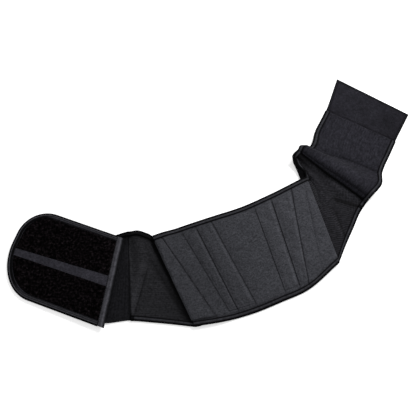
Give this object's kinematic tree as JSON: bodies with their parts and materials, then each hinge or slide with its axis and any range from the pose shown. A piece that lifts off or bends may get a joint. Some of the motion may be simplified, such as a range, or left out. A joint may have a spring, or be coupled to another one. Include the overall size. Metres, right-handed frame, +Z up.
{
  "type": "lumbar support belt",
  "caption": "Padded lumbar support belt lying open, with stretch wings, stay channels, hook tab and loop end.",
  "frame": {"origin": "on the surface under the middle of the whole belt's box", "axes": "+X along the belt's longest extent, from the closure tab to the loop end; +Z up from the surface that it lies on"},
  "size_m": [0.8502, 0.5596, 0.035],
  "materials": {
    "brushed_cloth": "brushed knit, matte, slightly fuzzy",
    "pocket_cloth": "brushed knit over stay channels, stitched",
    "elastic": "smooth woven elastic with fine lines",
    "ribbed_elastic": "finely ribbed elastic, matte",
    "mesh_cloth": "open spacer mesh, matte",
    "loop_cloth": "brushed loop pile, matte",
    "plain_cloth": "plain laminated knit, matte",
    "tape": "woven binding tape with stitch rows",
    "hooks": "fine moulded hooks"
  },
  "bodies": {
    "root": {"lumbar_panel": "brushed_cloth", "stay_pocket_1": "pocket_cloth", "stay_pocket_2": "pocket_cloth", "stay_pocket_3": "pocket_cloth", "stay_pocket_4": "pocket_cloth", "panel_hem_band": "pocket_cloth", "panel_upper_binding": "tape", "panel_lower_binding": "tape", "left_wing": "elastic", "stretch_insert": "ribbed_elastic", "left_wing_upper_binding": "tape", "left_wing_lower_binding": "tape", "right_wing": "mesh_cloth", "right_wing_upper_binding": "tape", "right_wing_lower_binding": "tape", "loop_panel": "loop_cloth", "loop_panel_left_binding": "tape", "loop_panel_right_binding": "tape", "end_tab": "plain_cloth", "closure_tab": "plain_cloth", "tab_binding": "tape", "tab_hem": "tape", "hook_pad_upper": "hooks", "hook_pad_lower": "hooks"}
  },
  "joints": []
}
